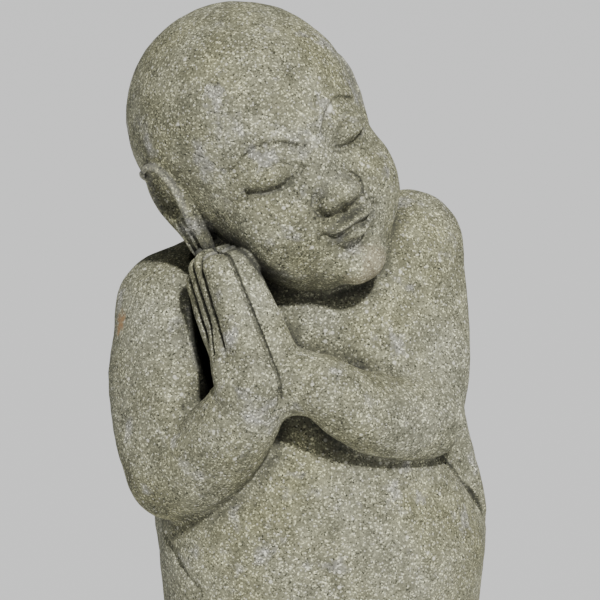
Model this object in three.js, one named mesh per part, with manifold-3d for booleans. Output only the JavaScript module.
// A standing monk with a tilted head resting on joined hands,
// carved with its low base from one block of stone.
// Millimetres, +Z up. The figure faces -Y and its left side is towards +X.
// The origin is the middle of the underside.
import * as THREE from "three";
import { mergeVertices } from "three/addons/utils/BufferGeometryUtils.js";
import Module from "manifold-3d";

const wasm = await Module();
wasm.setup();

// Driving dimensions of the stone
const FIGURE_HEIGHT = 950; // from the top of the base to the crown
const FOOT_SINK = 8; // how far the figure runs down into its base
const BASE_HEIGHT = 50;
const BASE_WIDTH = 360; // left to right
const BASE_DEPTH = 350; // front to back
const BASE_EDGE = 10; // rounding along the top edge

// The figure is given in thousandths of its own height, from the middle of the base's top
const SHARE = FIGURE_HEIGHT / 1000;
const SINK = FOOT_SINK / SHARE;
const at = (x, y, z) => new THREE.Vector3(x, y, z);
const degrees = THREE.MathUtils.degToRad;

// The head: its height, the place of its middle, and how far it nods, tilts and turns
const HEAD = {
  height: 302,
  middle: at(-49, -44, 847),
  nod: degrees(4),
  tilt: degrees(-28),
  turn: degrees(26),
};

// The head's masses in shares of its height, from its middle: x to its left, y to its back, z to its crown.
// blend is how softly a mass runs into those before it. A hollow is carved away, and a pair is on both sides.
const HEAD_MASSES = {
  skull: { at: [0, 0.07, 0.125], size: [0.365, 0.42, 0.375] },
  face: { at: [0, -0.085, -0.18], size: [0.27, 0.28, 0.31], blend: 0.13 },
  cheek: { at: [0.135, -0.185, -0.19], size: [0.14, 0.13, 0.15], blend: 0.09, pair: true },
  chin: { at: [0, -0.28, -0.4], size: [0.085, 0.065, 0.065], blend: 0.08 },
  socket: { at: [0.145, -0.44, 0], size: [0.12, 0.085, 0.055], blend: 0.07, pair: true, hollow: true },
  eyelid: { at: [0.14, -0.28, -0.005], size: [0.085, 0.08, 0.05], blend: 0.025, pair: true },
  noseBridge: { at: [0, -0.33, -0.05], size: [0.038, 0.055, 0.12], blend: 0.06 },
  noseTip: { at: [0, -0.395, -0.15], size: [0.042, 0.04, 0.036], blend: 0.05 },
  nostril: { at: [0.046, -0.365, -0.165], size: [0.032, 0.04, 0.028], blend: 0.025, pair: true },
  upperLip: { at: [0.03, -0.35, -0.255], size: [0.056, 0.036, 0.02], blend: 0.03, pair: true },
  lowerLip: { at: [0, -0.345, -0.292], size: [0.056, 0.038, 0.024], blend: 0.02 },
};

// An ear in shares of the head's height, standing off backwards from where it meets the head
const EAR = {
  at: [0.338, 0.03, 0.03],
  width: 0.165,
  upper: 0.125,
  lobe: 0.23,
  thick: 0.064,
  rim: 0.026,
  flare: degrees(18),
};

// Level sections of the robed body: the middle of each, its half width,
// its reach to the front and to the back, and how square it is (2 is an ellipse)
const BODY_SECTIONS = [
  { z: -20, x: 2, y: 6, width: 122, front: 92, back: 100, square: 2.3 },
  { z: 42, x: 2, y: 6, width: 126, front: 96, back: 104, square: 2.3 },
  { z: 62, x: 2, y: 0, width: 146, front: 124, back: 120, square: 2.3 },
  { z: 170, x: 3, y: 0, width: 146, front: 128, back: 122, square: 2.3 },
  { z: 290, x: 4, y: 0, width: 154, front: 146, back: 128, square: 2.25 },
  { z: 390, x: 4, y: 0, width: 163, front: 160, back: 128, square: 2.2 },
  { z: 460, x: 4, y: 0, width: 166, front: 158, back: 124, square: 2.15 },
  { z: 550, x: -4, y: 2, width: 142, front: 138, back: 116, square: 2.15 },
  { z: 630, x: -14, y: 8, width: 142, front: 116, back: 106, square: 2.4 },
  { z: 700, x: -16, y: 12, width: 132, front: 104, back: 94, square: 2.4 },
  { z: 750, x: -18, y: 16, width: 96, front: 84, back: 76, square: 2.2 },
  { z: 800, x: -30, y: 14, width: 56, front: 60, back: 60, square: 2 },
  { z: 840, x: -44, y: 4, width: 52, front: 50, back: 52, square: 2 },
];

// Masses that grow out of the body, each a run of stations
// with a point, a radius and how softly the stone blends
const BODY_LIMBS = {
  shoulders: [
    { point: at(-141, 8, 685), radius: 54, blend: 40 },
    { point: at(-60, 20, 714), radius: 54, blend: 40 },
    { point: at(20, 20, 738), radius: 54, blend: 40 },
    { point: at(88, 12, 748), radius: 50, blend: 40 },
  ],
  rightUpperArm: [
    { point: at(-144, -6, 674), radius: 55, blend: 30 },
    { point: at(-155, -30, 620), radius: 54, blend: 30 },
    { point: at(-152, -54, 566), radius: 50, blend: 24 },
    { point: at(-142, -72, 536), radius: 47, blend: 14 },
  ],
  rightChest: [
    { point: at(-134, -34, 686), radius: 44, blend: 26 },
    { point: at(-138, -58, 640), radius: 44, blend: 24 },
    { point: at(-134, -78, 590), radius: 44, blend: 16 },
    { point: at(-122, -92, 556), radius: 42, blend: 12 },
  ],
  leftUpperArm: [
    { point: at(90, 4, 736), radius: 50, blend: 30 },
    { point: at(100, -16, 684), radius: 50, blend: 30 },
    { point: at(104, -48, 628), radius: 46, blend: 24 },
    { point: at(98, -76, 596), radius: 43, blend: 12 },
  ],
  leftChest: [
    { point: at(56, -20, 724), radius: 54, blend: 36 },
    { point: at(58, -52, 668), radius: 46, blend: 30 },
    { point: at(60, -76, 626), radius: 38, blend: 20 },
  ],
  leftSleeve: [
    { point: at(104, 10, 640), radius: 30, blend: 12 },
    { point: at(116, -4, 570), radius: 34, blend: 3 },
    { point: at(128, -8, 520), radius: 34, blend: 2 },
    { point: at(138, 0, 480), radius: 34, blend: 2 },
    { point: at(146, 20, 420), radius: 28, blend: 5 },
    { point: at(138, 44, 330), radius: 22, blend: 20 },
  ],
  rightSleeve: [
    { point: at(-130, 6, 600), radius: 32, blend: 12 },
    { point: at(-130, 8, 520), radius: 36, blend: 4 },
    { point: at(-134, 20, 450), radius: 34, blend: 4 },
    { point: at(-130, 42, 360), radius: 22, blend: 18 },
  ],
};

// The forearms lie on the body, from inside each elbow to the wrist
const FOREARMS = {
  right: [
    { point: at(-142, -70, 532), radius: 47 },
    { point: at(-112, -106, 552), radius: 45 },
    { point: at(-84, -134, 590), radius: 42 },
    { point: at(-64, -150, 626), radius: 36 },
  ],
  left: [
    { point: at(100, -82, 592), radius: 44 },
    { point: at(66, -116, 600), radius: 41 },
    { point: at(34, -140, 616), radius: 37 },
    { point: at(4, -156, 640), radius: 31 },
  ],
};

// The joined hands: the edge where the two palms meet, and the way from the right palm to the left one
const HANDS = {
  wrist: at(-32, -184, 636),
  tips: at(-90, -134, 780),
  facing: at(0.84, 0.51, 0.16),
  palm: 76, // width across the four fingers
  thick: { right: 16, left: 18.5 }, // half the thickness of a finger at its root
  apart: 0.78, // how far a finger's middle lies from the other hand, as a share of its half thickness
  fingers: [0.94, 1, 0.99, 0.93], // how far each reaches, little finger first
  fan: [0.66, 0.84, 1, 1], // how wide the fingers spread from the palm to their tips
};

// The deep slot between the right hand and the shoulder, carved several times deeper than it is wide
const SLOT = {
  deeper: 6,
  stations: [
    { point: at(-120, -52, 760), radius: 7 },
    { point: at(-114, -70, 694), radius: 6.5 },
    { point: at(-104, -78, 640), radius: 6 },
    { point: at(-92, -84, 602), radius: 4 },
  ],
};

// The feet from heel to toes, half as wide as given, with the toes spread across and set back in an arc
const FEET = { apart: 116, heel: -40, toes: -152, width: 34, toeRadius: 10, toeSpread: 0.44, toeArc: 1.6 };

// The heart, from which the trunk is carved outwards, and the heights of the robe's hem and of the ankles
const HEART = at(-16, 6, 676);
const HEM = 62;
const ANKLE = 44;

// The robe's folds below the belly, deepest at the hem
const FOLDS = { count: 7, depth: 11, from: 400 };

// How finely each form is carved
const FINE = {
  head: 11,
  headTowardsFace: 0.34,
  earCurve: 7,
  bodyAround: 42,
  bodyTowardsFront: 0.25,
  neck: 8,
  robe: 17,
  robeTowardsHem: 1.3,
  limbAround: 12,
  limbAlong: 6,
  limbEnds: 3,
  fingerAround: 7,
  fingerAlong: 4,
  fingerEnds: 2,
  toeAround: 6,
  toeAlong: 2,
  base: 40,
};

// Distance from a point to an ellipsoid's surface, near enough for carving
function ellipsoid(x, y, z, [a, b, c]) {
  const near = Math.hypot(x / a, y / b, z / c);
  const slope = Math.hypot(x / (a * a), y / (b * b), z / (c * c));
  return slope < 1e-9 ? -Math.min(a, b, c) : (near * (near - 1)) / slope;
}

// The nearer of two surfaces, filled in where they meet
function join(a, b, blend) {
  const gap = Math.max(blend - Math.abs(a - b), 0);
  return Math.min(a, b) - (blend > 0 ? (gap * gap) / (4 * blend) : 0);
}

// The head's field in its own shares: positive outside the stone, negative inside
function headField(p) {
  let distance = Infinity;
  for (const { at: [x, y, z], size, blend = 0, pair, hollow } of Object.values(HEAD_MASSES)) {
    for (const side of pair ? [-1, 1] : [1]) {
      const reach = ellipsoid(p.x - x * side, p.y - y, p.z - z, size);
      if (distance === Infinity) distance = reach;
      else distance = hollow ? -join(-distance, reach, blend) : join(distance, reach, blend);
    }
  }
  return distance;
}

// A body section at any height, on smooth curves through the given ones
function bodySection(z) {
  const last = BODY_SECTIONS.length - 1;
  const section = (n) => BODY_SECTIONS[THREE.MathUtils.clamp(n, 0, last)];
  const i = THREE.MathUtils.clamp(BODY_SECTIONS.findLastIndex((s) => s.z <= z), 0, last - 1);
  const [before, start, end, after] = [section(i - 1), section(i), section(i + 1), section(i + 2)];
  const span = end.z - start.z;
  const t = THREE.MathUtils.clamp((z - start.z) / span, 0, 1);
  const blend = (key) => {
    const slopeIn = ((end[key] - before[key]) / (end.z - before.z)) * span;
    const slopeOut = ((after[key] - start[key]) / (after.z - start.z)) * span;
    const rise = end[key] - start[key];
    const square = 3 * rise - 2 * slopeIn - slopeOut;
    const cube = slopeIn + slopeOut - 2 * rise;
    return start[key] + t * (slopeIn + t * (square + t * cube));
  };
  return Object.fromEntries(Object.keys(start).map((key) => [key, blend(key)]));
}

// Distance to a run of stations, and how softly the stone blends at the nearest one
function limbField(stations, p) {
  let best = { distance: Infinity, blend: 0 };
  const along = new THREE.Line3();
  const foot = new THREE.Vector3();
  for (let i = 0; i < stations.length - 1; i += 1) {
    const [a, b] = [stations[i], stations[i + 1]];
    along.set(a.point, b.point);
    const t = along.closestPointToPointParameter(p, true);
    const distance = along.at(t, foot).distanceTo(p) - THREE.MathUtils.lerp(a.radius, b.radius, t);
    if (distance < best.distance) best = { distance, blend: THREE.MathUtils.lerp(a.blend, b.blend, t) };
  }
  return best;
}

// The body's field: its level sections, the robe's folds, and the limbs that grow out of it
function bodyField(p) {
  const section = bodySection(p.z);
  const [x, y] = [p.x - section.x, p.y - section.y];
  const reach = y < 0 ? section.front : section.back;
  const { width, square } = section;
  const shape = (Math.abs(x / width) ** square + Math.abs(y / reach) ** square) ** (1 / square);
  const far = Math.hypot(x, y);
  const drop = THREE.MathUtils.clamp((FOLDS.from - p.z) / FOLDS.from, 0, 1);
  const swing = Math.atan2(x, -y) * FOLDS.count + drop;
  const side = far - far / Math.max(shape, 1e-6) - FOLDS.depth * drop * Math.cos(swing);
  let distance = Math.max(side, p.z - BODY_SECTIONS.at(-1).z);
  for (const stations of Object.values(BODY_LIMBS)) {
    const limb = limbField(stations, p);
    distance = join(distance, limb.distance, limb.blend);
  }
  return distance;
}

// A closed solid from a geometry, its corners shared
function solid(geometry) {
  const bare = geometry.clone();
  bare.deleteAttribute("normal");
  bare.deleteAttribute("uv");
  const merged = mergeVertices(bare, 1e-3);
  const corners = merged.index.array;
  const faces = [];
  for (let i = 0; i < corners.length; i += 3) {
    const [a, b, c] = corners.slice(i, i + 3);
    if (a !== b && b !== c && c !== a) faces.push(a, b, c);
  }
  const vertProperties = Float32Array.from(merged.attributes.position.array);
  return new wasm.Manifold(new wasm.Mesh({ numProp: 3, vertProperties, triVerts: Uint32Array.from(faces) }));
}

// Moves every corner of a geometry; move gets the corner and changes it
function shapeCorners(geometry, move) {
  const places = geometry.attributes.position;
  const corner = new THREE.Vector3();
  for (let i = 0; i < places.count; i += 1) {
    corner.fromBufferAttribute(places, i);
    move(corner, i);
    places.setXYZ(i, corner.x, corner.y, corner.z);
  }
  return geometry;
}

// A ray starts this far out, and ends this close to the stone, in the units of each field
const OUTSIDE = { body: 420, head: 0.75 };
const CLOSE = { body: 0.1, head: 2e-4 };
const MOST_STEPS = 90;
const STRIDE = 0.7; // the share of the distance left that one step takes

// Slides a point inwards along its ray, from well outside, until it meets the field
function meet(corner, origin, direction, field, outside, close) {
  let far = outside;
  for (let step = 0; step < MOST_STEPS; step += 1) {
    corner.copy(origin).addScaledVector(direction, far);
    const gap = field(corner);
    if (gap < close) return;
    far = Math.max(far - gap * STRIDE, close);
  }
}

// Turns and places the head's own shares in the figure
function placeHead(geometry) {
  const turn = new THREE.Quaternion().setFromEuler(new THREE.Euler(HEAD.nod, HEAD.tilt, HEAD.turn, "YZX"));
  const size = at(HEAD.height, HEAD.height, HEAD.height);
  return geometry.applyMatrix4(new THREE.Matrix4().compose(HEAD.middle, turn, size));
}

// The head: a ball whose corners crowd towards the face, each slid in until it meets the masses
function head() {
  const middle = at(0, 0, 0);
  const face = at(0, -1, -0.15).normalize();
  const ball = new THREE.IcosahedronGeometry(1, FINE.head);
  shapeCorners(ball, (corner) => {
    const direction = corner.clone().addScaledVector(face, FINE.headTowardsFace).normalize();
    meet(corner, middle, direction, headField, OUTSIDE.head, CLOSE.head);
  });
  return solid(placeHead(ball));
}

// An ear: a tall leaf with a long lobe, hollowed inside its rim
function ear(side) {
  const half = EAR.width / 2;
  const leftOutline = new THREE.Shape();
  leftOutline.absellipse(0, 0, half, EAR.upper, 0, Math.PI, false);
  leftOutline.bezierCurveTo(-half, -0.1, -half * 0.75, -EAR.lobe, -half * 0.2, -EAR.lobe);
  leftOutline.bezierCurveTo(half * 0.45, -EAR.lobe, half * 0.6, -0.1, half, 0);
  const corners = leftOutline.getPoints(FINE.earCurve).map((p) => new THREE.Vector2(p.x * side, p.y));
  const outline = new THREE.Shape(corners);
  const leaf = new THREE.ExtrudeGeometry(outline, {
    depth: EAR.thick * 0.5,
    bevelThickness: EAR.thick * 0.25,
    bevelSize: EAR.rim * 0.4,
    bevelOffset: -EAR.rim * 0.4,
    bevelSegments: 1,
  });
  const bowl = new THREE.SphereGeometry(1, 12, 8).scale(half - EAR.rim, EAR.upper - EAR.rim, EAR.thick * 0.8);
  bowl.translate(0, -0.01, EAR.thick);
  const outward = new THREE.Matrix4().makeBasis(at(0, side, 0), at(0, 0, 1), at(side, 0, 0));
  const place = new THREE.Matrix4()
    .makeTranslation(EAR.at[0] * side, EAR.at[1], EAR.at[2])
    .multiply(new THREE.Matrix4().makeRotationZ(-EAR.flare * side))
    .multiply(outward);
  const [shell, hollow] = [leaf, bowl].map((geometry) => solid(placeHead(geometry.applyMatrix4(place))));
  return shell.subtract(hollow);
}

// The trunk: rays that rise from the heart to the shoulders and neck, and level rays from there down
function trunk() {
  const downwards = (_, i) => THREE.MathUtils.lerp(HEART.z, HEM, (i / FINE.robe) ** FINE.robeTowardsHem);
  const levels = [...Array.from({ length: FINE.robe }, downwards), HEM, ANKLE, -SINK];
  const rows = FINE.neck + levels.length;
  const ball = new THREE.SphereGeometry(1, FINE.bodyAround, rows);
  const columns = FINE.bodyAround + 1;
  shapeCorners(ball, (corner, i) => {
    const row = Math.floor(i / columns);
    const turn = ((i % columns) / FINE.bodyAround) * 2 * Math.PI;
    const swing = turn - FINE.bodyTowardsFront * Math.sin(turn);
    const rise = Math.max(1 - row / FINE.neck, 0) * (Math.PI / 2);
    const level = THREE.MathUtils.clamp(row - FINE.neck, 0, levels.length - 1);
    const origin = HEART.clone().setZ(levels[level]);
    const out = at(Math.sin(swing) * Math.cos(rise), -Math.cos(swing) * Math.cos(rise), Math.sin(rise));
    if (row === rows) corner.copy(origin);
    else meet(corner, origin, out, bodyField, OUTSIDE.body, CLOSE.body);
  });
  return solid(ball);
}

// A limb lofted along its stations, with a half ball at both ends, drawn out to the front and back by deeper
function limb(stations, around, along, ends, deeper = 1) {
  const path = new THREE.CatmullRomCurve3(stations.map((s) => s.point), false, "centripetal");
  const radii = new THREE.SplineCurve(stations.map((s, i) => new THREE.Vector2(i, s.radius)));
  const frames = path.computeFrenetFrames(along, false);
  const spots = path.getSpacedPoints(along);
  const columns = around + 1;
  const ball = new THREE.SphereGeometry(1, around, along + 2 * ends);
  shapeCorners(ball, (corner, i) => {
    const row = Math.floor(i / columns);
    const turn = ((i % columns) / around) * 2 * Math.PI;
    const station = THREE.MathUtils.clamp(row - ends, 0, along);
    const past = (row - ends - station) / ends;
    const radius = radii.getPoint(path.getUtoTmapping(station / along)).y;
    const across = radius * Math.cos((past * Math.PI) / 2);
    corner.copy(spots[station]);
    corner.addScaledVector(frames.tangents[station], radius * Math.sin((past * Math.PI) / 2));
    corner.addScaledVector(frames.normals[station], Math.cos(turn) * across);
    corner.addScaledVector(frames.binormals[station], -Math.sin(turn) * across);
  });
  return solid(ball.scale(1, deeper, 1));
}

// One hand: a palm that grows from the end of its forearm, four fingers and a thumb behind them
function hand(side, forearm) {
  const reach = HANDS.tips.clone().sub(HANDS.wrist);
  const length = reach.length();
  const forward = reach.clone().normalize();
  const facing = HANDS.facing.clone().addScaledVector(forward, -HANDS.facing.dot(forward)).normalize();
  const inward = new THREE.Vector3().crossVectors(forward, facing);
  const spot = (along, across, lift) =>
    HANDS.wrist
      .clone()
      .addScaledVector(reach, along)
      .addScaledVector(inward, across)
      .addScaledVector(facing, side * lift);
  const { palm, apart, fan } = HANDS;
  const thick = side < 0 ? HANDS.thick.right : HANDS.thick.left;
  const station = (along, across, share) => {
    const radius = thick * share;
    return { point: spot(along, across, radius * apart), radius };
  };
  const palmStations = [
    forearm.at(-1),
    station(0.14, palm * 0.46, 1.7),
    station(0.32, palm / 2, 1.4),
    station(0.55, palm / 2, 1),
  ];
  const edge = HANDS.thick.right * 0.9;
  const fingers = HANDS.fingers.map((tip, i) => {
    const across = ((palm - 2 * edge) * i) / 3;
    return [
      station(0.16, edge + across * fan[0], 1.16),
      station(0.35, edge + across * fan[1], 1.08),
      station(0.6, edge + across * fan[2], 0.98),
      station(tip - thick / length, edge + across * fan[3], 0.86),
    ];
  });
  const thumb = [station(0.14, palm * 0.7, 1.1), station(0.34, palm * 0.9, 0.9), station(0.56, palm, 0.7)];
  const digit = (stations) => limb(stations, FINE.fingerAround, FINE.fingerAlong, FINE.fingerEnds);
  const broad = limb(palmStations, FINE.limbAround, FINE.fingerAlong, FINE.fingerEnds);
  return [broad, ...fingers.map(digit), digit(thumb)];
}

function foot(side) {
  const x = (side * FEET.apart) / 2;
  const sole = [
    { point: at(x * 0.92, FEET.heel, 16), radius: FEET.width * 1.05 },
    { point: at(x, (FEET.heel + FEET.toes) / 2, 8), radius: FEET.width },
    { point: at(x * 1.03, FEET.toes + 6, -8), radius: FEET.width * 0.86 },
  ];
  const toes = [0, 1, 2, 3, 4].map((i) => {
    const radius = FEET.toeRadius * (1.3 - 0.12 * i);
    const across = x + side * FEET.width * FEET.toeSpread * (i - 1.9);
    const tip = FEET.toes + FEET.toeArc * i * i;
    return [
      { point: at(across, tip + 40, 9), radius },
      { point: at(across, tip + 18, 8), radius },
      { point: at(across, tip, 4), radius },
    ];
  });
  return [
    limb(sole, FINE.limbAround, 5, FINE.limbEnds),
    ...toes.map((stations) => limb(stations, FINE.toeAround, FINE.toeAlong, FINE.fingerEnds)),
  ];
}

// The slot's shape, lofted shallow and then drawn out to its depth
function slot() {
  const shallow = SLOT.stations.map(({ point: { x, y, z }, radius }) => ({
    point: at(x, y / SLOT.deeper, z),
    radius,
  }));
  return limb(shallow, FINE.fingerAround, FINE.fingerAlong, FINE.fingerEnds, SLOT.deeper);
}

// The low oval base, flat below, with a rounded top edge
function base() {
  const radius = BASE_WIDTH / 2;
  const profile = new THREE.Path();
  profile.moveTo(0, 0);
  profile.lineTo(radius, 0);
  profile.lineTo(radius, BASE_HEIGHT - BASE_EDGE);
  profile.absarc(radius - BASE_EDGE, BASE_HEIGHT - BASE_EDGE, BASE_EDGE, 0, Math.PI / 2, false);
  profile.lineTo(0, BASE_HEIGHT);
  const round = new THREE.LatheGeometry(profile.getPoints(3), FINE.base);
  return solid(round.rotateX(Math.PI / 2).scale(1, BASE_DEPTH / BASE_WIDTH, 1));
}

// From the figure's thousandths to millimetres above the base
function standing(piece) {
  return piece.scale(SHARE).translate(0, 0, BASE_HEIGHT);
}

const masses = [
  trunk().subtract(slot()),
  head(),
  ear(-1),
  ear(1),
  limb(FOREARMS.right, FINE.limbAround, FINE.limbAlong, FINE.limbEnds),
  limb(FOREARMS.left, FINE.limbAround, FINE.limbAlong, FINE.limbEnds),
  ...hand(-1, FOREARMS.right),
  ...hand(1, FOREARMS.left),
  ...foot(-1),
  ...foot(1),
];
const fused = masses.map(standing).reduce((stone, mass) => stone.add(mass), base());

// A pocket sealed in between two masses is solid stone too, so only the outer skin is kept
const larger = (one, other) => (other.volume() > one.volume() ? other : one);
const stone = fused.decompose().reduce(larger);

const skin = stone.getMesh();
const geometry = new THREE.BufferGeometry();
geometry.setAttribute("position", new THREE.BufferAttribute(skin.vertProperties, 3));
geometry.setIndex(new THREE.BufferAttribute(skin.triVerts, 1));
geometry.computeVertexNormals();

const weathered = new THREE.MeshStandardMaterial({ color: 0x7d7b66, roughness: 0.92, metalness: 0 });
const statue = new THREE.Mesh(geometry, weathered);
statue.name = "monk_statue";

const group = new THREE.Group();
group.add(statue);

export default group;
